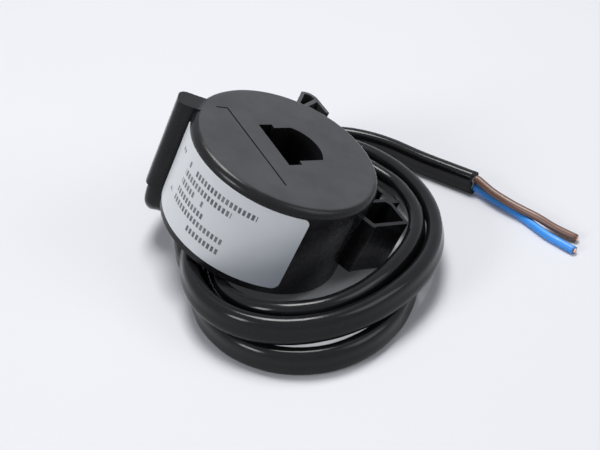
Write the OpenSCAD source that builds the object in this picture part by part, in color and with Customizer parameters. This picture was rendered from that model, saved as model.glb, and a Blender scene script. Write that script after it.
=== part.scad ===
// Ring-core current transformer with a moulded foot and a flat two-core lead.
// The housing lies tilted on the coil of its own lead. The floor is at z = 0.

/* [Housing] */
// Outer diameter of the drum
drum_d = 42; // [40:0.5:44]
// Height of the drum along its own axis
drum_h = 22.6; // [22:0.2:26]
// Thickness of the drum's outer wall
wall = 1.4; // [1:0.1:1.6]
// Thickness of the closed end
end_wall = 1.6; // [1.2:0.1:2]
// Radius of the closed end's rounded edge
edge_r = 1.7; // [0.8:0.1:1.9]
// Angle between the drum's axis and the upright
tilt = 22; // [20:0.5:24]

/* [Window] */
// Width of the window's square-cornered slot
slot_w = 13.4; // [12:0.2:13.6]
// Height of the slot
slot_h = 3.4; // [3:0.2:4]
// Radius of the round part of the window
dome_r = 7.8; // [7:0.1:8]
// Width of the round part between its flat flanks
dome_w = 11; // [10:0.2:12]
// Thickness of the tube that lines the window
window_wall = 1.0; // [0.8:0.1:1.2]

/* [Ear] */
// Width of the cable outlet on the drum's side
ear_w = 5.2; // [5:0.1:6]
// Reach of the cable outlet from the drum's axis
ear_reach = 24.8; // [24.6:0.1:25.4]
// Distance of the cable outlet's middle plane from the drum's axis
ear_y = 5.2; // [4:0.1:6]

/* [Foot] */
// Height of the foot along the drum's axis
foot_h = 13; // [10:0.5:15]
// Distance of the foot's flat outer side from the drum's axis
foot_reach = 21.9; // [21.7:0.1:22.4]
// Thickness of the foot's walls
foot_wall = 0.9; // [0.7:0.1:1.1]

/* [Label] */
// Height of the label along the drum's axis
label_h = 18.9; // [16:0.1:19]
// Thickness of the label
label_t = 0.15; // [0.1:0.05:0.3]
// Angle that the label covers round the drum
label_arc = 110; // [90:1:114]

/* [Core and winding] */
// Inner diameter of the magnetic core
core_id = 23.2; // [22.8:0.1:24]
// Outer diameter of the magnetic core
core_od = 32; // [30:0.2:33]
// Height of the magnetic core
core_h = 12; // [10:0.2:13]
// Thickness of the core's plastic case
case_wall = 0.6; // [0.5:0.1:0.7]
// Thickness of the copper winding
winding_t = 0.8; // [0.6:0.1:0.9]
// Thickness of the tape over the winding
tape_t = 0.2; // [0.1:0.05:0.3]

/* [Lead] */
// Width of the flat jacket
jacket_w = 6.0; // [5.8:0.1:6.2]
// Thickness of the flat jacket
jacket_t = 3.5; // [3.3:0.1:3.7]
// Diameter of each insulated core
wire_d = 1.9; // [1.7:0.1:2]
// Diameter of the stranded copper in each core
strand_d = 1.1; // [0.8:0.1:1.2]

/* [Hidden] */
$fn = 96;
// Overlap that lets a cut run past a face
cut = 1;

drum_r = drum_d / 2;
bore_r = drum_r - wall;
// The drum's bottom centre: its lowest rim touches the floor
rest_at = [-5.5, -4.4, drum_r * sin(tilt)];
// Turn of the window and the foot about the drum's axis
turn = -58;

// Sideways shift of the window from the drum's axis
window_u = -0.9;
// Engraved line beside the window, and its width and depth
line_from = [-13.4, -8.2];
line_to = [11.7, -7.9];
line_w = 0.35;
line_depth = 0.3;

// Recess and thickness of the cover that closes the drum's underside
cover_z = 0.5;
cover_t = 1.2;

// The outlet's pocket holds the jacket and the two splices above it
pocket_top = drum_h - 2;
pocket_x = -ear_reach + 0.7 + jacket_w / 2;
jacket_top = 12;
sleeve_d = 2.3;
sleeve_h = 5;
sleeve_step = 1.4;
thread_d = 0.4;
thread_gap = 0.05;

// The foot is centred on the drum's height
foot_z = (drum_h - foot_h) / 2;
foot_floor = 1;
foot_mid = foot_reach - foot_wall / 2;
foot_near_u = 20.4;
foot_far_u = -22.4;
foot_round = 2.4;

// Heights of the winding assembly, centred in the drum
core_z = (drum_h + cover_z + cover_t - end_wall - core_h) / 2;
core_r = [core_id / 2, core_od / 2];

label_z = 1.6;
label_start = 176;

// Coil of the lead: middle line of the turn on the floor and of the turn on
// top of it, and the open turn that nests inside the upper one
low_turn_x = 4.7;
low_turn_y = [-15.2, 1.5];
low_turn_r = 26.4;
high_turn_x = 8.6;
high_turn_y = [-12.8, 1.7];
high_turn_r = 26.1;
inner_turn_lift = 0.6;
inner_turn_back_y = 12;
drum_gap = 0.1;

// Free stretches of the lead, as points on its middle line
lead_in_start = place([pocket_x, ear_y, jacket_top]);
lead_in_mouth = place([pocket_x, ear_y, 0]);
lead_in_route = [
    lead_in_start, lead_in_mouth,
    [-26.2, 1, 12.5], [-26.6, 1.6, 10.4], [-26.6, 3.6, 8.6], [-26, 6.6, 8.6],
    [-24.4, 10.8, 9.8], [-21.2, 16, 12], [-16.4, 21.8, 13.9], [-10, 26.6, 14.8],
    [-2.6, 29.6, 15.2], [4.6, 30.2, 15.1], [11.2, 26.2, 14.2], [15.2, 20.8, 12.8],
    [19.4, 15.8, 11.4], [23.6, 11, 10.3]
];
// Angle between the jacket's width and the upright at each of these points
lead_in_leans = [90, 90, 90, 90, 90, 90, 90, 88, 86, 84, 80, 72, 60, 48, 38, 28];
tail_route = [
    [-23.2, -2, 3], [-23.8, 6.4, 3], [-22.6, 15.4, 3], [-18.8, 24.4, 3],
    [-12.2, 32.4, 3], [-3.2, 37.8, 3], [6.8, 40, 3], [15.8, 39.6, 3],
    [22, 37.8, 3], [28.2, 34.2, 3], [35.6, 28, 3], [43.2, 22.4, 3], [47.6, 19.2, 3]
];
brown_route = [
    [47.6, 19.2, 4.2], [48.425, 18.6, 4.2], [51.4, 14.4, 3.6], [55.8, 9.8, 2.6],
    [60.4, 6, 1.8], [64.2, 3, 1.2], [68.6, 0, 1]
];
blue_route = [
    [47.6, 19.2, 1.8], [48.425, 18.6, 1.8], [51.4, 15.4, 1.2], [55.6, 10.8, 1],
    [58.6, 6.6, 1], [61.8, 1.6, 1], [64.4, -1.4, 1], [67.2, -4.4, 1]
];
strand_out = 0.4;

// Position in the resting pose of a point given on the upright drum
function place(p) = rest_at + [
    p.x * cos(tilt) + p.z * sin(tilt), p.y, p.z * cos(tilt) - p.x * sin(tilt)
];

function unit(v) = v / norm(v);

// Direction of a route at point i
function along(route, i) =
    let (last = len(route) - 1)
    unit(route[min(i + 1, last)] - route[max(i - 1, 0)]);

// The part of v that stands square to t
function square_to(v, t) = unit(v - (v * t) * t);

// Outline of the flat jacket, and of a round core when w and t are equal
function section(w, t) = [
    for (side = [0, 1], step = [0:4])
        let (a = side * 180 + step * 45)
        [t / 2 * cos(a), t / 2 * sin(a) + (side == 0 ? 1 : -1) * (w - t) / 2]
];

// Direction of the jacket's width on the way from the outlet to the coil
function lead_in_width(i) =
    let (inward = [high_turn_x, high_turn_y[1], 0] - lead_in_route[i])
    i < 4 ? place([1, 0, 0]) - rest_at :
    cos(lead_in_leans[i]) * [0, 0, 1] + sin(lead_in_leans[i]) * unit([inward.x, inward.y, 0]);

function upright(route) = [for (p = route) [0, 0, 1]];

// A closed tube of the section along the route, with the direction of the
// section's width at each point
module sweep(route, outline, widths) {
    count = len(route);
    sides = len(outline);
    points = [
        for (i = [0:count - 1])
            let (
                t = along(route, i),
                w = square_to(widths[i], t),
                s = cross(w, t)
            )
            for (p = outline) route[i] + p.x * s + p.y * w
    ];
    sleeve = [
        for (i = [0:count - 2], k = [0:sides - 1], half = [0, 1])
            let (a = i * sides + k, b = i * sides + (k + 1) % sides)
            half == 0 ? [a, a + sides, b + sides] : [a, b + sides, b]
    ];
    start_cap = [for (k = [0:sides - 1]) k];
    end_cap = [for (k = [sides - 1:-1:0]) (count - 1) * sides + k];
    polyhedron(points, concat(sleeve, [start_cap], [end_cap]), convexity = 6);
}

// Places what is modelled on an upright drum into the resting pose
module placed() {
    translate(rest_at) rotate([0, tilt, 0]) children();
}

// Bar between two points with round ends
module bar(p, q, t) {
    d = q - p;
    translate(p) rotate(atan2(d.y, d.x)) {
        translate([0, -t / 2]) square([norm(d), t]);
        circle(d = t, $fn = 24);
        translate([norm(d), 0]) circle(d = t, $fn = 24);
    }
}

// Wall that follows a chain of points
module wall_line(points, t) {
    for (i = [0:len(points) - 2]) bar(points[i], points[i + 1], t);
}

// Ring with a rectangular section
module ring(r_in, r_out, z, h) {
    translate([0, 0, z]) difference() {
        cylinder(r = r_out, h = h);
        translate([0, 0, -cut]) cylinder(r = r_in, h = h + 2 * cut);
    }
}

// Outline of the window, larger by g on every side
module window_outline(g) {
    translate([window_u - slot_w / 2 - g, -slot_h - g]) square([slot_w + 2 * g, slot_h + 2 * g]);
    intersection() {
        circle(r = dome_r + g);
        translate([window_u - dome_w / 2 - g, -slot_h]) square([dome_w + 2 * g, 2 * dome_r]);
    }
}

// Drum with a rounded edge at its closed end
module drum_solid() {
    rotate_extrude() {
        square([drum_r - edge_r, drum_h]);
        square([drum_r, drum_h - edge_r]);
        translate([drum_r - edge_r, drum_h - edge_r]) intersection() {
            circle(r = edge_r, $fn = 48);
            square(edge_r);
        }
    }
}

// Space that the jacket and the splices take in the outlet
module outlet_pocket() {
    translate([pocket_x - jacket_w / 2, ear_y - jacket_t / 2, -cut])
        cube([jacket_w, jacket_t, pocket_top + cut]);
}

// Cable outlet: a tower as tall as the drum, with a round outer end
module ear() {
    r = 1.9;
    x = -ear_reach + r;
    side = ear_w / 2 - r;
    linear_extrude(drum_h) {
        translate([x, ear_y - ear_w / 2]) square([ear_reach - bore_r + 2, ear_w]);
        translate([-ear_reach, ear_y - side]) square([r, 2 * side]);
        for (y = [-side, side]) translate([x, ear_y + y]) circle(r = r, $fn = 48);
    }
}

// Outline of the foot's walls, seen along the drum's axis
module foot_walls() {
    near_u = foot_near_u;
    far_u = foot_far_u;
    // Near pocket
    wall_line([[19, 11.4], [near_u, 12.4], [near_u, foot_mid], [14.6, foot_mid],
               [13.2, foot_mid - 1], [13.2, 15.6]], foot_wall);
    bar([17.4, 10.8], [near_u, 12], 1.3);
    // Middle wall along the drum's side, and the far pocket's outer wall
    wall_line([[10.4, foot_mid], [far_u + foot_round, foot_mid]], foot_wall);
    translate([far_u + foot_round, foot_mid - foot_round]) intersection() {
        difference() {
            circle(r = foot_round + foot_wall / 2, $fn = 48);
            circle(r = foot_round - foot_wall / 2, $fn = 48);
        }
        translate([-2 * foot_round, 0]) square(2 * foot_round);
    }
    wall_line([[far_u, foot_mid - foot_round], [-16.2, 12.9]], foot_wall);
    // Rib across the far pocket
    bar([-19.6, foot_mid], [-16, 13.6], 1.1);
}

// Latch that stands out of the foot
module foot_latch() {
    wall_line([[15.4, foot_mid], [11.6, 23.2], [11.8, 26.6]], foot_wall);
}

module foot() {
    translate([0, 0, foot_z]) {
        linear_extrude(foot_h) foot_walls();
        linear_extrude(foot_h - 2) foot_latch();
        linear_extrude(foot_floor) {
            polygon([[13.2, 15], [17.6, 11], [foot_near_u, 12.2], [foot_near_u, foot_mid],
                     [14.6, foot_mid], [13.2, foot_mid - 1]]);
            polygon([[-16, 13.2], [-10, 18], [-11.8, foot_mid], [-20, foot_mid],
                     [-21.7, foot_mid - 0.7], [foot_far_u, foot_mid - foot_round]]);
        }
    }
}

module engraved_line() {
    translate([0, 0, drum_h - line_depth]) linear_extrude(line_depth + cut) {
        bar(line_from, line_to, line_w);
        bar(line_from, line_from + [-0.4, -2.4], line_w);
    }
}

module housing_shell() {
    color([0.16, 0.16, 0.17]) placed() difference() {
        union() {
            difference() {
                union() {
                    drum_solid();
                    rotate([0, 0, turn]) foot();
                    ear();
                }
                translate([0, 0, -cut]) cylinder(r = bore_r, h = drum_h - end_wall + cut);
            }
            rotate([0, 0, turn]) linear_extrude(drum_h - end_wall / 2) window_outline(window_wall);
        }
        rotate([0, 0, turn]) {
            translate([0, 0, -cut]) linear_extrude(drum_h + 2 * cut) window_outline(0);
            engraved_line();
        }
        outlet_pocket();
    }
}

module bottom_cover() {
    color([0.13, 0.13, 0.14]) placed() difference() {
        translate([0, 0, cover_z]) cylinder(r = bore_r, h = cover_t);
        rotate([0, 0, turn]) linear_extrude(drum_h) window_outline(window_wall);
        outlet_pocket();
    }
}

module side_label() {
    color([0.85, 0.86, 0.88]) placed() rotate([0, 0, label_start])
        translate([0, 0, label_z]) rotate_extrude(angle = label_arc)
        translate([drum_r, 0]) square([label_t, label_h]);
}

module magnetic_core() {
    color([0.55, 0.56, 0.58]) placed() ring(core_r[0], core_r[1], core_z, core_h);
}

module core_case_cup() {
    color([0.2, 0.22, 0.25]) placed() difference() {
        ring(core_r[0] - case_wall, core_r[1] + case_wall, core_z - case_wall, core_h + case_wall);
        ring(core_r[0], core_r[1], core_z, core_h + cut);
    }
}

module core_case_lid() {
    color([0.2, 0.22, 0.25]) placed()
        ring(core_r[0] - case_wall, core_r[1] + case_wall, core_z + core_h, case_wall);
}

// Solid ring round the core's case, thicker by g on every side
module wound_ring(g) {
    grow = case_wall + g;
    ring(core_r[0] - grow, core_r[1] + grow, core_z - grow, core_h + 2 * grow);
}

// Straight way of a winding end from the winding's side to above its sleeve
module thread_way(x, z, d) {
    translate([x, ear_y, z]) rotate([0, 90, 0]) cylinder(d = d, h = -x - 10, $fn = 24);
}

// The outer splice takes the winding's start and the inner one its finish
splice_x = [pocket_x - sleeve_step, pocket_x + sleeve_step];
thread_z = [jacket_top + sleeve_h + 1.4, jacket_top + sleeve_h + 0.6];

module thread_holes() {
    for (i = [0, 1]) thread_way(splice_x[i], thread_z[i], thread_d + 2 * thread_gap);
}

module secondary_winding() {
    color([0.72, 0.4, 0.2]) placed() difference() {
        wound_ring(winding_t);
        wound_ring(0);
    }
}

module winding_tape() {
    color([0.85, 0.75, 0.3]) placed() difference() {
        wound_ring(winding_t + tape_t);
        wound_ring(winding_t);
        thread_holes();
    }
}

module potting_compound() {
    z = cover_z + cover_t;
    color([0.1, 0.1, 0.11]) placed() difference() {
        translate([0, 0, z]) cylinder(r = bore_r, h = drum_h - end_wall - z);
        rotate([0, 0, turn]) linear_extrude(drum_h) window_outline(window_wall);
        wound_ring(winding_t + tape_t);
        outlet_pocket();
        thread_holes();
    }
}

// End of the winding's wire, from the winding's side down into a sleeve
module winding_thread(i) {
    color([0.72, 0.4, 0.2]) placed() difference() {
        union() {
            thread_way(splice_x[i], thread_z[i], thread_d);
            translate([splice_x[i], ear_y, jacket_top + sleeve_h])
                cylinder(d = thread_d, h = thread_z[i] - jacket_top - sleeve_h, $fn = 24);
        }
        cylinder(r = core_r[1] + case_wall + winding_t, h = drum_h);
    }
}

module winding_start_end() {
    winding_thread(0);
}

module winding_finish_end() {
    winding_thread(1);
}

module splice_sleeve(i) {
    placed() translate([splice_x[i], ear_y, jacket_top]) cylinder(d = sleeve_d, h = sleeve_h);
}

module splice_sleeve_brown() {
    color([0.25, 0.2, 0.18]) splice_sleeve(0);
}

module splice_sleeve_blue() {
    color([0.18, 0.2, 0.28]) splice_sleeve(1);
}

module cable_lead_in() {
    color([0.13, 0.13, 0.14])
        sweep(lead_in_route, section(jacket_w, jacket_t),
              [for (i = [0:len(lead_in_route) - 1]) lead_in_width(i)]);
}

// Oval outline with round ends, centred between the two y
module oval(x, y, r) {
    for (end = y) translate([x, end]) circle(r = r);
    translate([x - r, y[0]]) square([2 * r, y[1] - y[0]]);
}

// One turn of the jacket on its narrow side, r from the middle of its ends
module turn_on_edge(x, y, r, z) {
    translate([0, 0, z]) linear_extrude(jacket_w) difference() {
        oval(x, y, r + jacket_t / 2);
        oval(x, y, r - jacket_t / 2);
    }
}

module cable_coil() {
    color([0.13, 0.13, 0.14]) difference() {
        union() {
            turn_on_edge(low_turn_x, low_turn_y, low_turn_r, 0);
            turn_on_edge(high_turn_x, high_turn_y, high_turn_r, jacket_w);
            intersection() {
                turn_on_edge(high_turn_x, high_turn_y, high_turn_r - jacket_t,
                             jacket_w + inner_turn_lift);
                translate([-50, inner_turn_back_y - 100, 0]) cube([100, 100, 3 * jacket_w]);
            }
        }
        placed() translate([0, 0, -drum_gap]) cylinder(r = drum_r + drum_gap, h = drum_h);
    }
}

module cable_tail() {
    color([0.13, 0.13, 0.14])
        sweep(tail_route, section(jacket_w, jacket_t), upright(tail_route));
}

module wire_brown() {
    color([0.42, 0.28, 0.22]) sweep(brown_route, section(wire_d, wire_d), upright(brown_route));
}

module wire_blue() {
    color([0.2, 0.5, 0.85]) sweep(blue_route, section(wire_d, wire_d), upright(blue_route));
}

// Cut end of the copper, standing a little out of its insulation
module strands(route) {
    last = len(route) - 1;
    t = along(route, last);
    color([0.8, 0.6, 0.5]) translate(route[last])
        rotate([0, acos(t.z), atan2(t.y, t.x)]) cylinder(d = strand_d, h = strand_out, $fn = 24);
}

module conductor_brown() {
    strands(brown_route);
}

module conductor_blue() {
    strands(blue_route);
}

housing_shell();
bottom_cover();
side_label();
magnetic_core();
core_case_cup();
core_case_lid();
secondary_winding();
winding_tape();
potting_compound();
winding_start_end();
winding_finish_end();
splice_sleeve_brown();
splice_sleeve_blue();
cable_lead_in();
cable_coil();
cable_tail();
wire_brown();
wire_blue();
conductor_brown();
conductor_blue();
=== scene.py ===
"""Ring-core current transformer lying on the coil of its own flat lead."""

from math import cos, exp, pi, radians, sin

import bmesh
import bpy
from bpy.props import (
    FloatProperty,
    FloatVectorProperty,
    IntProperty,
    PointerProperty,
)
from mathutils import Matrix, Vector


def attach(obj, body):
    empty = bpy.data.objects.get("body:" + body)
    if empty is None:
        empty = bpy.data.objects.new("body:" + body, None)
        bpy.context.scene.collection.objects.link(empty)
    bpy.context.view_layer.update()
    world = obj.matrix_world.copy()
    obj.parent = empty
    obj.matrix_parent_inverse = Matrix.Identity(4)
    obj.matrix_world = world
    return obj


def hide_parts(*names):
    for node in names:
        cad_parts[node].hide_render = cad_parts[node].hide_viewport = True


bl_info = {
    "name": "Leaded current transformer",
    "version": (1, 0, 0),
    "blender": (4, 5, 0),
    "location": "View3D > Sidebar > Transformer",
    "description": "Builds the visible pieces of a ring-core current transformer",
    "category": "Object",
}

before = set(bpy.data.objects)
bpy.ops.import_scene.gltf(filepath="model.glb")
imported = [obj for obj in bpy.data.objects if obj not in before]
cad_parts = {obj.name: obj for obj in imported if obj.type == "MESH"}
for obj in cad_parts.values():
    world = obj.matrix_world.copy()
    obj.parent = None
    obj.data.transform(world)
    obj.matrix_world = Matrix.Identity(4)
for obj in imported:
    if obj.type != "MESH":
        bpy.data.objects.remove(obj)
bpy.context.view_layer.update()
MM = 0.001

# The drum's place: its bottom centre and the lean of its axis
DRUM_R = 21.0
DRUM_X, DRUM_Y = -5.5, -4.4
TILT = radians(22)
DRUM_AXIS = (sin(TILT), 0, cos(TILT))
DRUM = Matrix.Translation(
    Vector((DRUM_X, DRUM_Y, DRUM_R * sin(TILT))) * MM
) @ Matrix.Rotation(TILT, 4, "Y")


def drum_point(x, y, z):
    """Place in the row frame, in millimetres, of a point on the upright drum."""
    return (DRUM @ (Vector((x, y, z)) * MM)) / MM


# The flat jacket's section, and its place in the outlet on the upright drum
JACKET_W, JACKET_T = 6.0, 3.5
OUTLET_FACE, OUTLET_WALL = -24.8, 0.7
OUTLET_X = OUTLET_FACE + OUTLET_WALL + JACKET_W / 2
OUTLET_Y, OUTLET_INSIDE = 5.2, 12

# The lead's route, in millimetres: from the outlet to the coil, the coil's
# turns by a loop, and the free end on the floor
OUTLET_MOUTH = drum_point(OUTLET_X, OUTLET_Y, 0)
LEAD_IN = [
    drum_point(OUTLET_X, OUTLET_Y, OUTLET_INSIDE), OUTLET_MOUTH,
    (-26.2, 1, 12.5), (-26.6, 1.6, 10.4), (-26.6, 3.6, 8.6), (-26, 6.6, 8.6),
    (-24.4, 10.8, 9.8), (-21.2, 16, 12), (-16.4, 21.8, 13.9), (-10, 26.6, 14.8),
    (-2.6, 29.6, 15.2), (4.6, 30.2, 15.1), (11.2, 26.2, 14.2), (15.2, 20.8, 12.8),
    (19.4, 15.8, 11.4), (23.6, 11, 10.3),
]
# How far the jacket's width leans inwards from upright at each of those points
LEAD_IN_LEANS = [90, 90, 90, 90, 90, 90, 90, 88, 86, 84, 80, 72, 60, 48, 38, 28]
# The coil's first turn takes over before the last point of the way in
LEAD_IN_USED = 15
TAIL = [
    (-23.2, -2, 3), (-23.8, 6.4, 3), (-22.6, 15.4, 3), (-18.8, 24.4, 3),
    (-12.2, 32.4, 3), (-3.2, 37.8, 3), (6.8, 40, 3), (15.8, 39.6, 3),
    (22, 37.8, 3), (28.2, 34.2, 3), (35.6, 28, 3), (43.2, 22.4, 3), (47.6, 19.2, 3),
]
# The lower turn runs on below the drum's edge to the tail's third point
TAIL_FROM = 2
UNDER_DRUM = [(-20.4, -8.4, 3), (-21.4, -0.2, 3), (-22.3, 7.8, 3)]
# The two free cores, from the jacket's end to their own cut ends
BROWN = [
    (47.6, 19.2, 4.2), (48.425, 18.6, 4.2), (51.4, 14.4, 3.6), (55.8, 9.8, 3.1),
    (60.4, 6, 2.6), (64.2, 3, 1.7), (68.6, 0, 1),
]
BLUE = [
    (47.6, 19.2, 1.8), (48.425, 18.6, 1.8), (51.4, 15.4, 1.2), (55.6, 10.8, 1),
    (58.6, 6.6, 1), (61.8, 1.6, 1), (64.4, -1.4, 1), (67.2, -4.4, 1),
]
# The coil's middle, and its upper inner, upper outer and lower turn: radius and
# its cosine and sine terms by one, two and three times the angle, height of the
# middle line, its slope to the right, and the jacket's lean
COIL_X, COIL_Y = 6.7, -6.1
TURNS = [
    dict(r=25.5, c1=0, c2=-3.0, s2=-0.3, c3=1.7, s3=0.5, z=9.6, slope=0.5, lean=14),
    dict(r=29.7, c1=0, c2=-3.3, s2=0.2, c3=1.7, s3=-0.2, z=8.8, slope=0, lean=14),
    dict(r=30.6, c1=-1.2, c2=-4.1, s2=1.1, c3=-0.9, s3=1.1, z=3.0, slope=0, lean=8),
]
# Sweeps, in degrees, over which one turn passes into the next
TURN_CHANGES = [(209, 271), (542, 612)]
# Local swells that bring the turns clear of the drum and nearly clear of each
# other: middle and half width in degrees of sweep, added radius and height
SWELLS = [
    (-63, 43, 1.07, 0.04), (143, 54, -0.36, -2.64), (209, 53, 0.05, -2.35),
    (297, 80, 1.99, 0.11), (333, 68, -0.08, 0.04), (439, 63, 0.04, 0.23),
    (600, 44, 2.76, 0.13), (553, 66, -0.1, 0.13), (784, 42, -1.1, 0), (887, 54, -3.2, 0),
]
FIRST_SWEEP, LAST_SWEEP, SWEEP_STEP = -36, 879, 15
# Steps of the smooth line between two route points
LINE_STEPS = 6
# Route points between which the jacket turns from the outlet's way to the coil's
OUTLET_TURN = (2, 6.5)


def ease(start, end, at):
    """Share of the way from start to end, from 0 to 1 with soft ends."""
    share = min(max((at - start) / (end - start), 0), 1)
    return share * share * (3 - 2 * share)


def coil_point(sweep):
    """Point and lean after that many degrees clockwise from the right side."""
    a = radians(-sweep)
    outward, downward = (ease(*span, sweep) for span in TURN_CHANGES)
    inner, outer, lower = TURNS
    t = {
        k: inner[k] + (outer[k] - inner[k]) * outward + (lower[k] - outer[k]) * downward
        for k in inner
    }
    r = (
        t["r"] + t["c1"] * cos(a) + t["c2"] * cos(2 * a) + t["s2"] * sin(2 * a)
        + t["c3"] * cos(3 * a) + t["s3"] * sin(3 * a)
    )
    z = t["z"] + t["slope"] * cos(a)
    for middle, half, more_r, more_z in SWELLS:
        if abs(sweep - middle) < half:
            share = cos((sweep - middle) / half * pi / 2) ** 2
            r += more_r * share
            z += more_z * share
    return (COIL_X + r * cos(a), COIL_Y + r * sin(a), z), t["lean"]


def lead_route():
    """Route points of the whole lead and the jacket's lean at each."""
    points, leans = LEAD_IN[:LEAD_IN_USED], LEAD_IN_LEANS[:LEAD_IN_USED]
    for sweep in range(FIRST_SWEEP, LAST_SWEEP + 1, SWEEP_STEP):
        point, lean = coil_point(sweep)
        points.append(point)
        leans.append(lean)
    tail = UNDER_DRUM + TAIL[TAIL_FROM:]
    return points + tail, leans + [0] * len(tail)


def smooth(values, steps):
    """A smooth line through the values, with that many steps between two."""
    values = [Vector(v) for v in values]
    ends = [2 * values[0] - values[1], *values, 2 * values[-1] - values[-2]]
    line = []
    for a, b, c, d in zip(ends, ends[1:], ends[2:], ends[3:]):
        for k in range(steps):
            t = k / steps
            line.append(
                (2 * b + (c - a) * t + (2 * a - 5 * b + 4 * c - d) * t**2
                 + (3 * b - a - 3 * c + d) * t**3) / 2
            )
    return line + [values[-1]]


def stations(line, widths):
    """Placing matrices along a line: X across, Y along the width, Z ahead."""
    found = []
    last = len(line) - 1
    for i, (point, width) in enumerate(zip(line, widths)):
        ahead = (line[min(i + 1, last)] - line[max(i - 1, 0)]).normalized()
        width = (width - width.dot(ahead) * ahead).normalized()
        across = width.cross(ahead)
        turned = Matrix((across, width, ahead)).transposed().to_4x4()
        found.append(Matrix.Translation(point * MM) @ turned)
    return found


def lead_stations():
    """Smooth middle line of the whole lead and the jacket's place along it."""
    points, leans = lead_route()
    line = smooth(points, LINE_STEPS)
    leans = [v.x for v in smooth([(lean, 0, 0) for lean in leans], LINE_STEPS)]
    outlet_width = DRUM.to_3x3() @ Vector((1, 0, 0))
    widths = []
    last = len(line) - 1
    for i, lean in enumerate(leans):
        ahead = (line[min(i + 1, last)] - line[max(i - 1, 0)]).normalized()
        inward = Vector((ahead.y, -ahead.x, 0))
        if inward.length > 1e-6:
            inward.normalize()
        width = Vector((0, 0, cos(radians(lean)))) + inward * sin(radians(lean))
        share = ease(OUTLET_TURN[0] * LINE_STEPS, OUTLET_TURN[1] * LINE_STEPS, i)
        widths.append(outlet_width * (1 - share) + width * share)
    return line, stations(line, widths)


def flat_section(width, thickness, valley):
    """Outline of the flat jacket: two round lobes with a shallow valley between."""
    r = thickness / 2
    shift = width / 2 - r
    valley_half = 0.5
    lobe = [(r * cos(radians(a)), shift + r * sin(radians(a))) for a in range(0, 181, 15)]
    flank = [
        (-(r - valley * exp(-((y / valley_half) ** 2))), y)
        for y in (0.85, 0.45, 0, -0.45, -0.85)
    ]
    half = lobe + flank
    return half + [(-x, -y) for x, y in half]


def round_section(diameter, sides=24):
    """Outline of a round core."""
    r = diameter / 2
    turn = 2 * pi / sides
    return [(r * cos(turn * k), r * sin(turn * k)) for k in range(sides)]


def swept_mesh(places, outline, cut_rim, cut_depth):
    """A closed tube of the outline through the places, with dished cut ends."""
    bm = bmesh.new()
    along = bm.verts.layers.float.new("along")
    around = bm.verts.layers.float.new("around")
    ring = []
    for k, (x, y) in enumerate(outline):
        v = bm.verts.new(places[0] @ (Vector((x, y, 0)) * MM))
        v[around] = k / len(outline)
        ring.append(v)
    edges = [bm.edges.new((a, b)) for a, b in zip(ring, ring[1:] + ring[:1])]
    first = list(edges)
    travelled = 0.0
    for here, there in zip(places, places[1:]):
        made = bmesh.ops.extrude_edge_only(bm, edges=edges)["geom"]
        verts = [g for g in made if isinstance(g, bmesh.types.BMVert)]
        new = set(verts)
        edges = [
            g for g in made if isinstance(g, bmesh.types.BMEdge) and set(g.verts) <= new
        ]
        bmesh.ops.transform(bm, matrix=there @ here.inverted(), verts=verts)
        travelled += (there.translation - here.translation).length
        for v in verts:
            v[along] = travelled
    for loop in (first, edges):
        bmesh.ops.contextual_create(bm, geom=loop)
    bmesh.ops.recalc_face_normals(bm, faces=bm.faces)
    ends = [f for f in bm.faces if len(f.verts) == len(outline)]
    for end in ends:
        end.smooth = False
        back = -end.normal.copy()
        bmesh.ops.inset_region(bm, faces=[end], thickness=cut_rim * MM, use_even_offset=True)
        bmesh.ops.translate(bm, vec=back * cut_depth * MM, verts=end.verts)
    return bm


# A face with more corners than this is the flat bottom of a cut end
MOST_SMOOTH_CORNERS = 19


def piece_from(name, bm, material, smooth_faces=True):
    """An object at the origin from a bmesh, riding on the root body."""
    mesh = bpy.data.meshes.new(name)
    for face in bm.faces:
        face.smooth = smooth_faces and len(face.verts) <= MOST_SMOOTH_CORNERS
    bm.to_mesh(mesh)
    bm.free()
    piece = bpy.data.objects.new(name, mesh)
    bpy.context.scene.collection.objects.link(piece)
    mesh.materials.append(material)
    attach(piece, "root")
    return piece


def dress(node, material):
    """Puts a material on a CAD node in place of its own."""
    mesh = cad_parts[node].data
    if not mesh.materials:
        mesh.materials.append(material)
    for i in range(len(mesh.materials)):
        mesh.materials[i] = material


# Finishes


def plain_material(name):
    """A new material, its node tree and its shader."""
    material = bpy.data.materials.new(name)
    material.use_nodes = True
    return material, material.node_tree, material.node_tree.nodes["Principled BSDF"]


def effect(name, inputs, outputs):
    """An empty shader node group with those named sockets."""
    tree = bpy.data.node_groups.new(name, "ShaderNodeTree")
    for label, kind, default in inputs:
        socket = tree.interface.new_socket(name=label, in_out="INPUT", socket_type=kind)
        socket.default_value = default
    for label, kind in outputs:
        tree.interface.new_socket(name=label, in_out="OUTPUT", socket_type=kind)
    return tree, tree.nodes.new("NodeGroupInput"), tree.nodes.new("NodeGroupOutput")


def calc(tree, operation, a, b=None, clamp=False):
    """Output of a Math node; a and b are numbers or sockets."""
    node = tree.nodes.new("ShaderNodeMath")
    node.operation = operation
    node.use_clamp = clamp
    for socket, value in zip(node.inputs, (a, b)):
        if isinstance(value, (int, float)):
            socket.default_value = value
        elif value is not None:
            tree.links.new(value, socket)
    return node.outputs[0]


def lifted(tree, value, gain, lift):
    """Value times gain plus lift, kept between 0 and 1."""
    node = calc(tree, "MULTIPLY_ADD", value, gain, clamp=True).node
    node.inputs[2].default_value = lift
    return node.outputs[0]


def vector_calc(tree, operation, vector, other=None):
    """A Vector Math node on a socket and, if given, a constant vector."""
    node = tree.nodes.new("ShaderNodeVectorMath")
    node.operation = operation
    if other is not None:
        node.inputs[1].default_value = other
    tree.links.new(vector, node.inputs[0])
    return node


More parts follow.
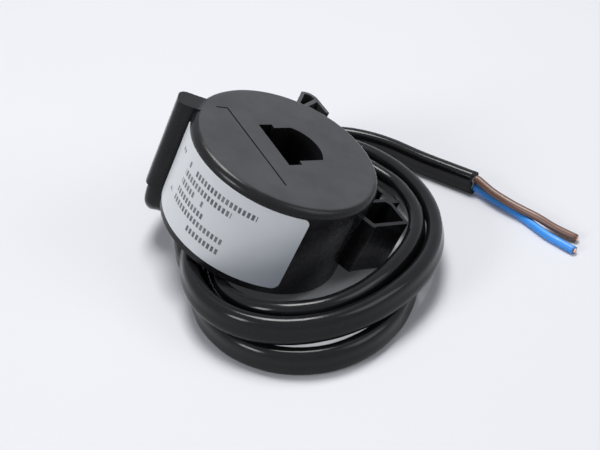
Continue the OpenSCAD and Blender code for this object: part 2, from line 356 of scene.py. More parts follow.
def noise(tree, vector, scale, detail=3.0, roughness=0.55):
    """Value of a noise pattern; scale is a number, in waves a metre, or a socket."""
    node = tree.nodes.new("ShaderNodeTexNoise")
    node.inputs["Detail"].default_value = detail
    node.inputs["Roughness"].default_value = roughness
    tree.links.new(vector, node.inputs["Vector"])
    if isinstance(scale, (int, float)):
        node.inputs["Scale"].default_value = scale
    else:
        tree.links.new(scale, node.inputs["Scale"])
    return node.outputs["Fac"]


def map_range(tree, value, start, end, low=0.0, high=1.0):
    """Maps start..end to low..high; low and high are numbers or sockets."""
    node = tree.nodes.new("ShaderNodeMapRange")
    node.inputs["From Min"].default_value = start
    node.inputs["From Max"].default_value = end
    for name, limit in (("To Min", low), ("To Max", high)):
        if isinstance(limit, (int, float)):
            node.inputs[name].default_value = limit
        else:
            tree.links.new(limit, node.inputs[name])
    tree.links.new(value, node.inputs["Value"])
    return node.outputs["Result"]


def spread(tree, value, low, high):
    """Maps the middle of a noise value to low..high."""
    return map_range(tree, value, 0.3, 0.7, low, high)


def blend_colours(tree, factor, a, b):
    """Mix of two colours; each is a tuple or a socket."""
    node = tree.nodes.new("ShaderNodeMix")
    node.data_type = "RGBA"
    sockets = [s for s in node.inputs if s.type == "RGBA"]
    tree.links.new(factor, node.inputs["Factor"])
    for socket, colour in zip(sockets, (a, b)):
        if isinstance(colour, (tuple, list)):
            socket.default_value = (*colour[:3], 1)
        else:
            tree.links.new(colour, socket)
    return next(s for s in node.outputs if s.type == "RGBA")


def blend_values(tree, factor, a, b):
    """Mix of two values that vary over the surface."""
    node = tree.nodes.new("ShaderNodeMix")
    for socket, value in zip((node.inputs[0], *node.inputs[2:4]), (factor, a, b)):
        tree.links.new(value, socket)
    return node.outputs[0]


def object_place(tree):
    """Object coordinates of the shaded point."""
    return tree.nodes.new("ShaderNodeTexCoord").outputs["Object"]


# Scales of the rubbed spots and of the patches of gloss on moulded plastic
RUB_SCALE, MOULD_GLOSS_SCALE = 900.0, 420.0
# Scales on drawn plastic: along the lead and round it for its lines, and in
# space for its clouds, grain and patches of gloss
LINE_STRETCH, LINE_SCALE = 45.0, 9.0
DRAWN_CLOUD_SCALE, DRAWN_GRAIN_SCALE, DRAWN_GLOSS_SCALE = 90.0, 2600.0, 260.0
SURFACE_OUTPUTS = [
    ("Color", "NodeSocketColor"),
    ("Roughness", "NodeSocketFloat"),
    ("Height", "NodeSocketFloat"),
]


def moulded_surface():
    """Spark-eroded plastic: cloudy tone, fine grain and rubbed spots."""
    if "moulded_surface" in bpy.data.node_groups:
        return bpy.data.node_groups["moulded_surface"]
    tree, given, out = effect(
        "moulded_surface",
        [
            ("Dark", "NodeSocketColor", (0.01, 0.01, 0.01, 1)),
            ("Light", "NodeSocketColor", (0.03, 0.03, 0.03, 1)),
            ("Cloud Scale", "NodeSocketFloat", 120.0),
            ("Grain Scale", "NodeSocketFloat", 3000.0),
            ("Smooth", "NodeSocketFloat", 0.4),
            ("Rough", "NodeSocketFloat", 0.6),
            ("Rubbed", "NodeSocketFloat", 0.15),
        ],
        SURFACE_OUTPUTS,
    )
    where = object_place(tree)
    cloud = noise(tree, where, given.outputs["Cloud Scale"], 4)
    grain = noise(tree, where, given.outputs["Grain Scale"], 2, 0.7)
    rub = lifted(tree, noise(tree, where, RUB_SCALE, 5, 0.65), 6.0, -3.6)
    rub = calc(tree, "MULTIPLY", rub, given.outputs["Rubbed"])
    mix = calc(tree, "ADD", spread(tree, cloud, 0.0, 0.8), rub, clamp=True)
    tree.links.new(
        blend_colours(tree, mix, given.outputs["Dark"], given.outputs["Light"]),
        out.inputs["Color"],
    )
    gloss = noise(tree, where, MOULD_GLOSS_SCALE, 4)
    tree.links.new(
        spread(tree, gloss, given.outputs["Smooth"], given.outputs["Rough"]),
        out.inputs["Roughness"],
    )
    tree.links.new(
        calc(tree, "ADD", grain, calc(tree, "MULTIPLY", cloud, 0.6)), out.inputs["Height"]
    )
    return tree


def drawn_surface():
    """Extruded plastic: fine lines along the lead and soft uneven gloss."""
    if "drawn_surface" in bpy.data.node_groups:
        return bpy.data.node_groups["drawn_surface"]
    tree, given, out = effect(
        "drawn_surface",
        [
            ("Dark", "NodeSocketColor", (0.01, 0.01, 0.01, 1)),
            ("Light", "NodeSocketColor", (0.03, 0.03, 0.03, 1)),
            ("Smooth", "NodeSocketFloat", 0.3),
            ("Rough", "NodeSocketFloat", 0.5),
            ("Lines", "NodeSocketFloat", 1.0),
        ],
        SURFACE_OUTPUTS,
    )
    along = tree.nodes.new("ShaderNodeAttribute")
    along.attribute_name = "along"
    around = tree.nodes.new("ShaderNodeAttribute")
    around.attribute_name = "around"
    # The pattern is drawn out along the lead and closes on itself round it
    ring = calc(tree, "MULTIPLY", around.outputs["Fac"], 2 * pi)
    where = tree.nodes.new("ShaderNodeCombineXYZ")
    tree.links.new(calc(tree, "COSINE", ring), where.inputs["X"])
    tree.links.new(calc(tree, "SINE", ring), where.inputs["Y"])
    tree.links.new(
        calc(tree, "MULTIPLY", along.outputs["Fac"], LINE_STRETCH), where.inputs["Z"])
    lines = noise(tree, where.outputs["Vector"], LINE_SCALE, 3, 0.6)
    place = object_place(tree)
    cloud = noise(tree, place, DRAWN_CLOUD_SCALE, 4)
    grain = noise(tree, place, DRAWN_GRAIN_SCALE, 2, 0.7)
    mix = calc(tree, "ADD", spread(tree, lines, 0.0, 0.5), spread(tree, cloud, 0.0, 0.5),
               clamp=True)
    tree.links.new(
        blend_colours(tree, mix, given.outputs["Dark"], given.outputs["Light"]),
        out.inputs["Color"],
    )
    gloss = noise(tree, place, DRAWN_GLOSS_SCALE, 4)
    tree.links.new(
        spread(tree, gloss, given.outputs["Smooth"], given.outputs["Rough"]),
        out.inputs["Roughness"],
    )
    tree.links.new(
        calc(tree, "ADD", calc(tree, "MULTIPLY", lines, given.outputs["Lines"]),
             calc(tree, "MULTIPLY", grain, 0.5)),
        out.inputs["Height"],
    )
    return tree


def add_bump(tree, shader, height, depth, strength):
    """Raises the surface's grain by that depth in millimetres."""
    bump = tree.nodes.new("ShaderNodeBump")
    bump.inputs["Distance"].default_value = depth * MM
    bump.inputs["Strength"].default_value = strength
    tree.links.new(height, bump.inputs["Height"])
    tree.links.new(bump.outputs["Normal"], shader.inputs["Normal"])


def finish_with(name, group, depth, strength, specular=0.5, metallic=0.0, **values):
    """A material whose colour, roughness and bump come from an effect.

    The depth of the bump is in millimetres; values are the effect's own inputs.
    """
    material, tree, shader = plain_material(name)
    node = tree.nodes.new("ShaderNodeGroup")
    node.node_tree = group
    for label, value in values.items():
        socket = node.inputs[label.replace("_", " ")]
        socket.default_value = (*value[:3], 1) if isinstance(value, (tuple, list)) else value
    tree.links.new(node.outputs["Color"], shader.inputs["Base Color"])
    tree.links.new(node.outputs["Roughness"], shader.inputs["Roughness"])
    add_bump(tree, shader, node.outputs["Height"], depth, strength)
    shader.inputs["Specular IOR Level"].default_value = specular
    shader.inputs["Metallic"].default_value = metallic
    return material


# Rows of dashes on the label, in millimetres from its lower left corner:
# bottom edge, height, left and right limits
LABEL_ROWS = [
    (14.85, 1.35, 10.6, 30.2), (12.6, 1.35, 10.5, 25.2), (10.3, 1.35, 10.4, 18.6),
    (7.9, 1.35, 10.2, 20.0), (5.65, 1.35, 10.1, 25.9), (3.0, 1.35, 17.0, 27.2),
    (15.3, 0.9, 6.0, 7.6), (5.6, 0.9, 6.7, 8.2),
]
DASH_PITCH, DASH_SHARE = 1.0, 0.62
# One in so many pairs of dashes is left out, so that a row breaks up like words
GAP_SHARE = 0.12


def between(tree, value, low, high):
    """1 where the value lies between the limits, 0 elsewhere."""
    return calc(tree, "MULTIPLY", calc(tree, "GREATER_THAN", value, low),
                calc(tree, "LESS_THAN", value, high))


def dash_row(tree, u, v, low, tall, left, right):
    """Mask of one row of dashes on the label's own coordinates."""
    field = calc(tree, "MULTIPLY", between(tree, v, low, low + tall),
                 between(tree, u, left, right))
    pair = tree.nodes.new("ShaderNodeCombineXYZ")
    tree.links.new(
        calc(tree, "FLOOR", calc(tree, "DIVIDE", u, DASH_PITCH * 2)), pair.inputs["X"])
    pair.inputs["Y"].default_value = low
    chance = tree.nodes.new("ShaderNodeTexWhiteNoise")
    chance.noise_dimensions = "2D"
    tree.links.new(pair.outputs[0], chance.inputs["Vector"])
    kept = calc(tree, "GREATER_THAN", chance.outputs["Value"], GAP_SHARE)
    place = calc(tree, "FRACT", calc(tree, "DIVIDE", u, DASH_PITCH))
    dash = calc(tree, "LESS_THAN", place, DASH_SHARE)
    return calc(tree, "MULTIPLY", field, calc(tree, "MULTIPLY", kept, dash))


def label_film_material(s):
    """Grey polyester film with rows of plain dashes, and painted shade that turns it blue-grey
    towards its lower right corner.
    """
    material, tree, shader = plain_material("label_film")
    uv = tree.nodes.new("ShaderNodeUVMap")
    uv.uv_map = "label"
    split = tree.nodes.new("ShaderNodeSeparateXYZ")
    tree.links.new(uv.outputs["UV"], split.inputs[0])
    u, v = split.outputs["X"], split.outputs["Y"]
    where = object_place(tree)
    rows = [dash_row(tree, u, v, *row) for row in LABEL_ROWS]
    ink = rows[0]
    for row in rows[1:]:
        ink = calc(tree, "MAXIMUM", ink, row)
    ink = calc(tree, "MULTIPLY", spread(tree, noise(tree, where, 260.0), 0.75, 1.0), ink)
    film = blend_colours(
        tree, spread(tree, noise(tree, where, 70.0, 3), 0.0, 1.0),
        tuple(s.film), tuple(c * 1.08 for c in s.film))
    # Painted shade: the film darkens to blue-grey towards its lower right corner
    corner = lifted(tree, calc(tree, "SUBTRACT", u, v), 0.045, -0.95)
    film = blend_colours(tree, corner, film, tuple(s.painted_shade))
    film = blend_colours(tree, ink, film, tuple(s.ink))
    tree.links.new(film, shader.inputs["Base Color"])
    tree.links.new(
        spread(tree, noise(tree, where, 300.0, 3), 0.3, 0.42), shader.inputs["Roughness"])
    add_bump(tree, shader, noise(tree, where, 900.0, 3), 0.02, 0.3)
    return material


# Settings


class LabelSettings(bpy.types.PropertyGroup):
    film: FloatVectorProperty(
        name="Film", description="Colour of the label's film", subtype="COLOR",
        size=3, min=0, max=1, default=(0.56, 0.58, 0.6))
    # Painted shade: the colour that the film darkens to at its lower right corner
    painted_shade: FloatVectorProperty(
        name="Painted Shade", description="Colour of the field at the label's lower corner",
        subtype="COLOR", size=3, min=0, max=1, default=(0.4, 0.45, 0.54))
    ink: FloatVectorProperty(
        name="Ink", description="Colour of the printed dashes", subtype="COLOR",
        size=3, min=0, max=1, default=(0.06, 0.06, 0.07))
    corner: FloatProperty(
        name="Corner", description="Radius of the label's corners", unit="LENGTH",
        min=0.0005, max=0.003, default=0.0015)
    start: FloatProperty(
        name="Start", description="Angle round the drum at which the label starts",
        unit="ROTATION", default=radians(176))
    arc: FloatProperty(
        name="Arc", description="Angle that the label covers", unit="ROTATION",
        default=radians(110))


class LeadSettings(bpy.types.PropertyGroup):
    width: FloatProperty(
        name="Jacket Width", description="Width of the flat jacket", unit="LENGTH",
        min=0.005, max=0.007, default=JACKET_W * MM)
    thickness: FloatProperty(
        name="Jacket Thickness", description="Thickness of the flat jacket",
        unit="LENGTH", min=0.003, max=0.004, default=JACKET_T * MM)
    waist: FloatProperty(
        name="Valley", description="Depth of the valley along the jacket's sides",
        unit="LENGTH", min=0, max=0.0004, default=0.00006)
    core: FloatProperty(
        name="Core Diameter", description="Diameter of each insulated core",
        unit="LENGTH", min=0.0015, max=0.0025, default=0.0019)
    strands: IntProperty(
        name="Strands", description="Copper strands in each core", min=7, max=19, default=19)
    jacket_dark: FloatVectorProperty(
        name="Jacket Dark", description="Darker tone of the jacket", subtype="COLOR",
        size=3, min=0, max=1, default=(0.0035, 0.0035, 0.0042))
    jacket_light: FloatVectorProperty(
        name="Jacket Light", description="Lighter tone of the jacket", subtype="COLOR",
        size=3, min=0, max=1, default=(0.009, 0.009, 0.0105))
    brown: FloatVectorProperty(
        name="Brown", description="Colour of the brown core", subtype="COLOR",
        size=3, min=0, max=1, default=(0.15, 0.075, 0.05))
    blue: FloatVectorProperty(
        name="Blue", description="Colour of the blue core", subtype="COLOR",
        size=3, min=0, max=1, default=(0.04, 0.27, 0.78))


class HousingSettings(bpy.types.PropertyGroup):
    dark: FloatVectorProperty(
        name="Moulding Dark", description="Darker tone of the moulding", subtype="COLOR",
        size=3, min=0, max=1, default=(0.006, 0.006, 0.0067))
    light: FloatVectorProperty(
        name="Moulding Light", description="Lighter tone of the moulding", subtype="COLOR",
        size=3, min=0, max=1, default=(0.0115, 0.0115, 0.0128))
    # Painted sheen: the closed end's lighter tones stand in for its broad reflection
    end_sheen_dark: FloatVectorProperty(
        name="End Sheen Dark", description="Darker tone of the textured closed end",
        subtype="COLOR", size=3, min=0, max=1, default=(0.044, 0.044, 0.048))
    end_sheen_light: FloatVectorProperty(
        name="End Sheen Light", description="Lighter tone of the textured closed end",
        subtype="COLOR", size=3, min=0, max=1, default=(0.064, 0.064, 0.069))
    end_smooth: FloatProperty(
        name="End Gloss", description="Roughness of the textured closed end",
        min=0.1, max=1, default=0.46)
    smooth: FloatProperty(
        name="Gloss", description="Roughness of the glossiest spots", min=0.1, max=1,
        default=0.2)
    rough: FloatProperty(
        name="Matt", description="Roughness of the most matt spots", min=0.1, max=1,
        default=0.32)


class StageSettings(bpy.types.PropertyGroup):
    lens: FloatProperty(
        name="Lens", description="Focal length on a 36 mm frame", min=20, max=200,
        default=62.84)
    floor: FloatVectorProperty(
        name="Floor", description="Colour of the floor", subtype="COLOR", size=3,
        min=0, max=1, default=(0.622, 0.63, 0.665))
    key: FloatProperty(
        name="Key Light", description="Share of every lamp's power", min=0,
        default=1.0)


SETTINGS = {
    "ct_label": LabelSettings, "ct_lead": LeadSettings,
    "ct_housing": HousingSettings, "ct_stage": StageSettings,
}


# Operators


# The camera's place and how far it looks down
CAMERA_AT = (0.0053, -0.1885, 0.1490)
CAMERA_DOWN = radians(37.40)
SENSOR_W = 36


class CT_OT_camera(bpy.types.Operator):
    """Places the camera in front of and above the transformer"""

    bl_idname = "ct.camera"
    bl_label = "Camera"

    def execute(self, context):
        data = bpy.data.cameras.new("camera")
        data.sensor_width = SENSOR_W
        data.lens = context.scene.ct_stage.lens
        data.clip_start = 0.005
        camera = bpy.data.objects.new("camera", data)
        camera.location = CAMERA_AT
        camera.rotation_euler = (pi / 2 - CAMERA_DOWN, 0, 0)
        context.scene.collection.objects.link(camera)
        context.scene.camera = camera
        return {"FINISHED"}


# Rim width and depth of the dish at a cut end, in millimetres
JACKET_END = (0.45, 0.5)
CORE_END = (0.42, 0.18)
# Copper strands: rings of seats round a middle one, and each wire's own size
STRAND_RINGS = [(0.225, 6), (0.43, 12)]
STRAND_R, STRAND_TIP_R, STRAND_LENGTH, STRAND_BEVEL = 0.105, 0.1, 1.6, 0.03


class CT_OT_lead(bpy.types.Operator):
    """Builds the flat lead and its two insulated cores with their strands"""

    bl_idname = "ct.lead"
    bl_label = "Lead"

    def execute(self, context):
        s = context.scene.ct_lead
        line, places = lead_stations()
        jacket = self.jacket(s, places)
        for name, route, colour in (("brown", BROWN, s.brown), ("blue", BLUE, s.blue)):
            way = smooth(route, LINE_STEPS)
            seats = stations(way, [Vector((0, 0, 1))] * len(way))
            self.core(s, name, seats, tuple(colour))
            self.strands(name, seats[-1], s.strands)
        return {"FINISHED"}

    def jacket(self, s, places):
        """The whole flat jacket, from inside the outlet to its cut end"""
        finish = finish_with(
            "black_jacket", drawn_surface(), depth=0.03, strength=0.22, specular=0.24,
            Dark=tuple(s.jacket_dark), Light=tuple(s.jacket_light),
            Smooth=0.14, Rough=0.2, Lines=0.7)
        outline = flat_section(s.width / MM, s.thickness / MM, s.waist / MM)
        jacket = piece_from("lead_jacket", swept_mesh(places, outline, *JACKET_END), finish)
        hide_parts("cable_lead_in", "cable_coil", "cable_tail")
        return jacket

    def core(self, s, name, seats, colour):
        """One insulated core, from inside the jacket to its cut end"""
        finish = finish_with(
            f"{name}_insulation", drawn_surface(), depth=0.03, strength=0.3,
            Dark=tuple(c * 0.8 for c in colour),
            Light=tuple(min(1, c * 1.15) for c in colour),
            Smooth=0.26, Rough=0.38, Lines=0.5)
        bm = swept_mesh(seats, round_section(s.core / MM), *CORE_END)
        core = piece_from(f"core_{name}", bm, finish)
        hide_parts(f"wire_{name}")
        return core

    def strands(self, name, place, count):
        """Bundle of fine copper wires at a core's cut end"""
        bm = bmesh.new()
        seats = [(0.0, 0.0)]
        for ring, number in STRAND_RINGS:
            turn = 2 * pi / number
            seats += [
                (ring * cos(turn * k + ring), ring * sin(turn * k + ring))
                for k in range(number)
            ]
        for k, (x, y) in enumerate(seats[:count]):
            # Each wire stands out of the core by its own small length
            out = 0.25 + 0.15 * sin(k * 2.4) ** 2
            made = bmesh.ops.create_cone(
                bm, cap_ends=True, segments=10, radius1=STRAND_R * MM,
                radius2=STRAND_TIP_R * MM, depth=STRAND_LENGTH * MM,
                matrix=Matrix.Translation(Vector((x, y, out - STRAND_LENGTH / 2)) * MM))
            tip = {v for v in made["verts"] if v.co.z > (out - 0.1) * MM}
            rim = {e for v in tip for e in v.link_edges if set(e.verts) <= tip}
            bmesh.ops.bevel(bm, geom=list(rim), offset=STRAND_BEVEL * MM,
                            offset_type="OFFSET", affect="EDGES", segments=2,
                            profile=0.5, material=-1)
        bmesh.ops.transform(bm, matrix=place, verts=bm.verts)
        bmesh.ops.recalc_face_normals(bm, faces=bm.faces)
        copper = bpy.data.materials.get("copper_strand") or finish_with(
            "copper_strand", moulded_surface(), depth=0.01, strength=0.3, metallic=1.0,
            Dark=(0.62, 0.30, 0.17), Light=(0.9, 0.52, 0.35), Cloud_Scale=1500.0,
            Grain_Scale=9000.0, Smooth=0.2, Rough=0.34, Rubbed=0.2)
        bundle = piece_from(f"strands_{name}", bm, copper)
        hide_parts(f"conductor_{name}")
        return bundle


# The label's height and lower edge on the drum, its film, and the pieces that
# it is bent in
LABEL_TALL, LABEL_LOW = 18.9, 1.6
FILM_T, FILM_GAP = 0.13, 0.01
LABEL_BENDS = 72


class CT_OT_label(bpy.types.Operator):
    """Wraps the film label with rounded corners round the drum"""

    bl_idname = "ct.label"
    bl_label = "Label"

    def execute(self, context):
        s = context.scene.ct_label
        wide = DRUM_R * s.arc
        bm = bmesh.new()
        bmesh.ops.create_grid(bm, x_segments=1, y_segments=1, size=0.5)
        bmesh.ops.scale(bm, vec=(wide, LABEL_TALL, 1), verts=bm.verts)
        bmesh.ops.translate(bm, vec=(wide / 2, LABEL_TALL / 2, 0), verts=bm.verts)
        bmesh.ops.bevel(bm, geom=list(bm.verts), offset=s.corner / MM, offset_type="OFFSET",
                        affect="VERTICES", segments=6, profile=0.5, material=-1)
        for k in range(1, LABEL_BENDS):
            bmesh.ops.bisect_plane(
                bm, geom=[*bm.verts, *bm.edges, *bm.faces],
                plane_co=(wide * k / LABEL_BENDS, 0, 0), plane_no=(1, 0, 0))
        flat_uv = bm.loops.layers.uv.new("label")
        for face in bm.faces:
            for loop in face.loops:
                loop[flat_uv].uv = (loop.vert.co.x, loop.vert.co.y)
        made = bmesh.ops.extrude_face_region(bm, geom=list(bm.faces))["geom"]
        bmesh.ops.translate(
            bm, vec=(0, 0, FILM_T), verts=[g for g in made if isinstance(g, bmesh.types.BMVert)])
        bmesh.ops.recalc_face_normals(bm, faces=bm.faces)
        for v in bm.verts:
            a = s.start + v.co.x / DRUM_R
            off = DRUM_R + FILM_GAP + v.co.z
            v.co = DRUM @ (Vector((off * cos(a), off * sin(a), LABEL_LOW + v.co.y)) * MM)
        label = piece_from("label_sheet", bm, label_film_material(s), smooth_faces=False)
        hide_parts("side_label")
        return {"FINISHED"}


def moulding_material(s):
    """Black moulding: polished sides, and a matt textured closed end whose lighter colour is
    painted sheen.
    """
    material = finish_with(
        "black_moulding", moulded_surface(), depth=0.05, strength=0.3, specular=0.22,
        Dark=tuple(s.dark), Light=tuple(s.light), Cloud_Scale=110.0,
        Grain_Scale=3200.0, Smooth=s.smooth, Rough=s.rough, Rubbed=0.12)
    tree = material.node_tree
    shader = tree.nodes["Principled BSDF"]
    sides = next(n for n in tree.nodes if n.type == "GROUP")
    end = tree.nodes.new("ShaderNodeGroup")
    end.node_tree = sides.node_tree
    for label, value in (
        ("Dark", (*s.end_sheen_dark, 1)), ("Light", (*s.end_sheen_light, 1)), ("Cloud Scale", 140.0),
        ("Grain Scale", 2600.0), ("Smooth", s.end_smooth), ("Rough", s.end_smooth + 0.1),
        ("Rubbed", 0.2),
    ):
        end.inputs[label].default_value = value
    share = closed_end_mask(tree)
    # The closed end's lighter colour is painted sheen; its roughness and grain are its own
    tree.links.new(
        blend_colours(tree, share, sides.outputs["Color"], end.outputs["Color"]),
        shader.inputs["Base Color"])
    tree.links.new(
        blend_values(tree, share, sides.outputs["Roughness"], end.outputs["Roughness"]),
        shader.inputs["Roughness"])
    # The sides keep a fifth of the closed end's grain
    depth = calc(tree, "ADD", calc(tree, "MULTIPLY", share, 0.8), 0.2)
    bump = next(n for n in tree.nodes if n.type == "BUMP")
    tree.links.new(calc(tree, "MULTIPLY", depth, end.outputs["Height"]), bump.inputs["Height"])
    return material


def closed_end_mask(tree):
    """1 on the drum's closed end inside its rim, 0 on every other face."""
    normal = tree.nodes.new("ShaderNodeNewGeometry").outputs["Normal"]
    facing = vector_calc(tree, "DOT_PRODUCT", normal, DRUM_AXIS).outputs["Value"]
    away = vector_calc(tree, "SUBTRACT", object_place(tree), DRUM.translation).outputs[0]
    across = vector_calc(tree, "CROSS_PRODUCT", away, DRUM_AXIS).outputs[0]
    radius = vector_calc(tree, "LENGTH", across).outputs["Value"]
    return calc(
        tree, "MULTIPLY", map_range(tree, facing, 0.93, 0.995),
        map_range(tree, radius, (DRUM_R - 0.4) * MM, (DRUM_R - 1.4) * MM))


# The foot, in millimetres, turned about the drum's axis: the far pocket's walls
# stand above the middle wall's top and start a little below it
FOOT_TURN = radians(-58)
FOOT_TOP, WALL_RISE, WALL_SINK = 17.8, 2.4, 0.3
POCKET_WALL, RIB_WALL = 0.9, 1.1
POCKET_FAR, POCKET_SIDE, POCKET_BEND = -22.4, 21.9, 2.4
# The walls' edges are broken where their faces meet at more than this angle
SHARP_ANGLE, EDGE_BREAK = 1.2, 0.12


def pocket_walls():
    """Middle lines and thicknesses of the far pocket's outer wall and its rib."""
    side = POCKET_SIDE - POCKET_WALL / 2
    bend = [
        (POCKET_FAR + POCKET_BEND * (1 - sin(radians(a))),
         side - POCKET_BEND * (1 - cos(radians(a))))
        for a in range(0, 91, 15)
    ]
    return [
        ([(-14.6, side), *bend, (-16.2, 12.9)], POCKET_WALL),
        ([(-19.6, side), (-16, 13.6)], RIB_WALL),
    ]


def centre_wall(faces, grown):
    """Moves a wall that was grown to one side back by half its thickness."""
    made = {g for g in grown if isinstance(g, bmesh.types.BMVert)}
    old = {v for f in faces if f.is_valid for v in f.verts} - made
    halves = []
    for v in old:
        w = min(made, key=lambda other: (other.co - v.co).length)
        halves.append((v, w, (w.co - v.co) / 2))
    for v, w, half in halves:
        v.co -= half
        w.co -= half


class CT_OT_far_walls(bpy.types.Operator):
    """Raises the walls of the foot's far pocket above the middle wall"""

    bl_idname = "ct.far_walls"
    bl_label = "Far Pocket Walls"

    def execute(self, context):
        bm = bmesh.new()
        for chain, thick in pocket_walls():
            verts = [bm.verts.new((x, y, 0)) for x, y in chain]
            edges = [bm.edges.new(pair) for pair in zip(verts, verts[1:])]
            made = bmesh.ops.extrude_edge_only(bm, edges=edges)["geom"]
            bmesh.ops.translate(bm, vec=(0, 0, WALL_RISE + WALL_SINK),
                                verts=[g for g in made if isinstance(g, bmesh.types.BMVert)])
            faces = [g for g in made if isinstance(g, bmesh.types.BMFace)]
            bmesh.ops.recalc_face_normals(bm, faces=faces)
            centre_wall(faces, bmesh.ops.solidify(bm, geom=faces, thickness=thick)["geom"])
        bmesh.ops.recalc_face_normals(bm, faces=bm.faces)
        sharp = [
            e for e in bm.edges
            if len(e.link_faces) == 2 and e.calc_face_angle() > SHARP_ANGLE
        ]
        bmesh.ops.bevel(bm, geom=sharp, offset=EDGE_BREAK, offset_type="OFFSET",
                        affect="EDGES", segments=2, profile=0.5, material=-1)
        turned = DRUM @ Matrix.Scale(MM, 4) @ Matrix.Rotation(FOOT_TURN, 4, "Z")
        seat = Matrix.Translation((0, 0, FOOT_TOP - WALL_SINK))
        bmesh.ops.transform(bm, matrix=turned @ seat, verts=bm.verts)
        walls = piece_from("foot_far_walls", bm, bpy.data.materials["black_moulding"],
                           smooth_faces=False)
        return {"FINISHED"}


class CT_OT_housing(bpy.types.Operator):
    """Gives the housing and its cover their moulded finish"""

    bl_idname = "ct.housing"
    bl_label = "Housing"

    def execute(self, context):
        s = context.scene.ct_housing
        shell = moulding_material(s)
        cover = finish_with(
            "cover_plastic", moulded_surface(), depth=0.04, strength=0.35,
            Dark=tuple(s.dark), Light=tuple(c * 1.3 for c in s.light), Cloud_Scale=150.0,
            Grain_Scale=2600.0, Smooth=s.rough + 0.1, Rough=s.rough + 0.22, Rubbed=0.3)
        dress("housing_shell", shell)
        dress("bottom_cover", cover)
        return {"FINISHED"}


# Inner finishes: the nodes that have each, its bump depth and strength, how
# metallic it is, and its surface's own values
INNER_FINISHES = {
    "core_metal": (
        ["magnetic_core"], 0.02, 0.4, 0.9,
        dict(Dark=(0.25, 0.26, 0.28), Light=(0.45, 0.46, 0.48), Cloud_Scale=400.0,
             Grain_Scale=5000.0, Smooth=0.25, Rough=0.45, Rubbed=0.3)),
    "case_plastic": (
        ["core_case_cup", "core_case_lid"], 0.03, 0.3, 0.0,
        dict(Dark=(0.03, 0.04, 0.06), Light=(0.06, 0.07, 0.1), Cloud_Scale=200.0,
             Grain_Scale=3000.0, Smooth=0.35, Rough=0.5, Rubbed=0.2)),
    "enamelled_copper": (
        ["secondary_winding", "winding_start_end", "winding_finish_end"], 0.04, 0.5, 0.8,
        dict(Dark=(0.35, 0.12, 0.04), Light=(0.6, 0.26, 0.1), Cloud_Scale=700.0,
             Grain_Scale=4200.0, Smooth=0.2, Rough=0.35, Rubbed=0.3)),
    "tape_film": (
        ["winding_tape"], 0.03, 0.3, 0.0,
        dict(Dark=(0.5, 0.38, 0.06), Light=(0.7, 0.56, 0.14), Cloud_Scale=180.0,
             Grain_Scale=2600.0, Smooth=0.22, Rough=0.34, Rubbed=0.15)),
    "potting_resin": (
        ["potting_compound"], 0.04, 0.4, 0.0,
        dict(Dark=(0.008, 0.008, 0.009), Light=(0.02, 0.02, 0.02), Cloud_Scale=160.0,
             Grain_Scale=1500.0, Smooth=0.15, Rough=0.3, Rubbed=0.1)),
    "sleeve_plastic": (
        ["splice_sleeve_brown", "splice_sleeve_blue"], 0.03, 0.3, 0.0,
        dict(Dark=(0.02, 0.02, 0.03), Light=(0.05, 0.05, 0.07), Cloud_Scale=300.0,
             Grain_Scale=3000.0, Smooth=0.4, Rough=0.55, Rubbed=0.2)),
}


class CT_OT_inner_parts(bpy.types.Operator):
    """Gives the core, its case, the winding, tape, resin and splices their finish"""

    bl_idname = "ct.inner_parts"
    bl_label = "Inner Parts"

    def execute(self, context):
        for name, (nodes, depth, strength, metallic, values) in INNER_FINISHES.items():
            material = finish_with(
                name, moulded_surface(), depth, strength, metallic=metallic, **values)
            for node in nodes:
                dress(node, material)
        return {"FINISHED"}


def seen_directly(tree):
    """1 where the camera, a reflection or a clear body meets the surface."""
    path = tree.nodes.new("ShaderNodeLightPath")
    seen = calc(tree, "MAXIMUM", path.outputs["Is Camera Ray"], path.outputs["Is Glossy Ray"])
    return calc(tree, "MAXIMUM", seen, path.outputs["Is Transmission Ray"])


# Lamps: place, power in watts at a key of 1, size and colour
LAMPS = {
    "overhead": ((-0.04, 0.16, 0.68), 4.7, 0.27, (1.0, 0.995, 0.985)),
    "front_left": ((-0.50, -0.42, 0.32), 2.1, 0.22, (0.98, 0.985, 1.0)),
    "right": ((0.50, -0.15, 0.40), 0.9, 0.35, (1.0, 1.0, 1.0)),
}
LAMPS_AIM = Vector((0.0, 0.0, 0.01))
FLOOR_HALF = 3.0
# Glow that only the eye sees on the floor, and the world's light
FLOOR_GLOW, FLOOR_GLOW_COLOUR = 0.03, (0.90, 0.94, 1.0, 1)
WORLD_LIGHT, WORLD_SEEN, WORLD_COLOUR = 0.18, 0.68, (0.86, 0.90, 0.96, 1)


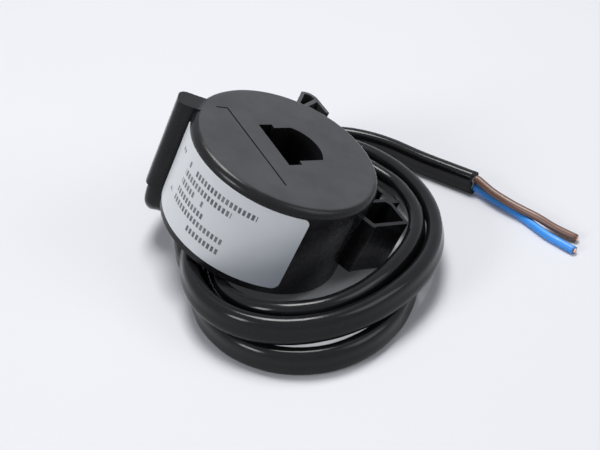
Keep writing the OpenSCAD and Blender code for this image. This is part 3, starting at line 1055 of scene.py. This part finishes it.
class CT_OT_stage(bpy.types.Operator):
    """Adds the pale floor, the lamps and the world"""

    bl_idname = "ct.stage"
    bl_label = "Stage"

    def execute(self, context):
        scene = context.scene
        self.floor(scene)
        self.world(scene)
        self.lamps(scene)
        scene.view_settings.view_transform = "Standard"
        return {"FINISHED"}

    def floor(self, scene):
        """Plain paper floor"""
        bm = bmesh.new()
        bmesh.ops.create_grid(bm, x_segments=2, y_segments=2, size=FLOOR_HALF)
        mesh = bpy.data.meshes.new("floor")
        bm.to_mesh(mesh)
        bm.free()
        floor = bpy.data.objects.new("floor", mesh)
        scene.collection.objects.link(floor)
        material, tree, shader = plain_material("floor_paper")
        colour = tuple(scene.ct_stage.floor)
        paper = blend_colours(
            tree, spread(tree, noise(tree, object_place(tree), 8.0, 3), 0.0, 1.0),
            colour, tuple(min(1, c * 1.02) for c in colour))
        tree.links.new(paper, shader.inputs["Base Color"])
        shader.inputs["Roughness"].default_value = 0.7
        shader.inputs["Specular IOR Level"].default_value = 0.15
        glow = tree.nodes.new("ShaderNodeEmission")
        glow.inputs["Color"].default_value = FLOOR_GLOW_COLOUR
        tree.links.new(
            calc(tree, "MULTIPLY", seen_directly(tree), FLOOR_GLOW), glow.inputs["Strength"])
        both = tree.nodes.new("ShaderNodeAddShader")
        tree.links.new(shader.outputs[0], both.inputs[0])
        tree.links.new(glow.outputs[0], both.inputs[1])
        tree.links.new(both.outputs[0], tree.nodes["Material Output"].inputs["Surface"])
        mesh.materials.append(material)

    def world(self, scene):
        """Even light from all round, brighter where it is seen"""
        world = bpy.data.worlds.new("studio")
        scene.world = world
        world.use_nodes = True
        tree = world.node_tree
        back = tree.nodes["Background"]
        back.inputs["Color"].default_value = WORLD_COLOUR
        seen = calc(tree, "MULTIPLY", seen_directly(tree), WORLD_SEEN)
        tree.links.new(calc(tree, "ADD", seen, WORLD_LIGHT), back.inputs["Strength"])

    def lamps(self, scene):
        """Three soft square lamps aimed at the transformer"""
        for name, (place, power, size, colour) in LAMPS.items():
            data = bpy.data.lights.new(name, "AREA")
            data.energy = scene.ct_stage.key * power
            data.size = size
            data.color = colour
            lamp = bpy.data.objects.new(name, data)
            lamp.location = place
            aim = LAMPS_AIM - Vector(place)
            lamp.rotation_euler = aim.to_track_quat("-Z", "Y").to_euler()
            scene.collection.objects.link(lamp)


class CT_PT_transformer(bpy.types.Panel):
    """Lists the transformer's pieces and their settings"""

    bl_idname = "CT_PT_transformer"
    bl_label = "Current Transformer"
    bl_space_type = "VIEW_3D"
    bl_region_type = "UI"
    bl_category = "Transformer"

    def draw(self, context):
        layout = self.layout
        for name, settings in SETTINGS.items():
            box = layout.box()
            for key in settings.__annotations__:
                box.prop(getattr(context.scene, name), key)
        for operator in OPERATORS:
            layout.operator(operator.bl_idname)


OPERATORS = (
    CT_OT_camera, CT_OT_lead, CT_OT_label, CT_OT_housing, CT_OT_far_walls,
    CT_OT_inner_parts, CT_OT_stage,
)
CLASSES = (*SETTINGS.values(), *OPERATORS, CT_PT_transformer)


def register():
    for cls in CLASSES:
        bpy.utils.register_class(cls)
    for name, settings in SETTINGS.items():
        setattr(bpy.types.Scene, name, PointerProperty(type=settings))


def unregister():
    for name in SETTINGS:
        delattr(bpy.types.Scene, name)
    for cls in reversed(CLASSES):
        bpy.utils.unregister_class(cls)


def main():
    register()
    bpy.ops.ct.camera()
    bpy.ops.ct.lead()
    bpy.ops.ct.label()
    bpy.ops.ct.housing()
    bpy.ops.ct.far_walls()
    bpy.ops.ct.inner_parts()
    bpy.ops.ct.stage()


if __name__ == "__main__":
    main()
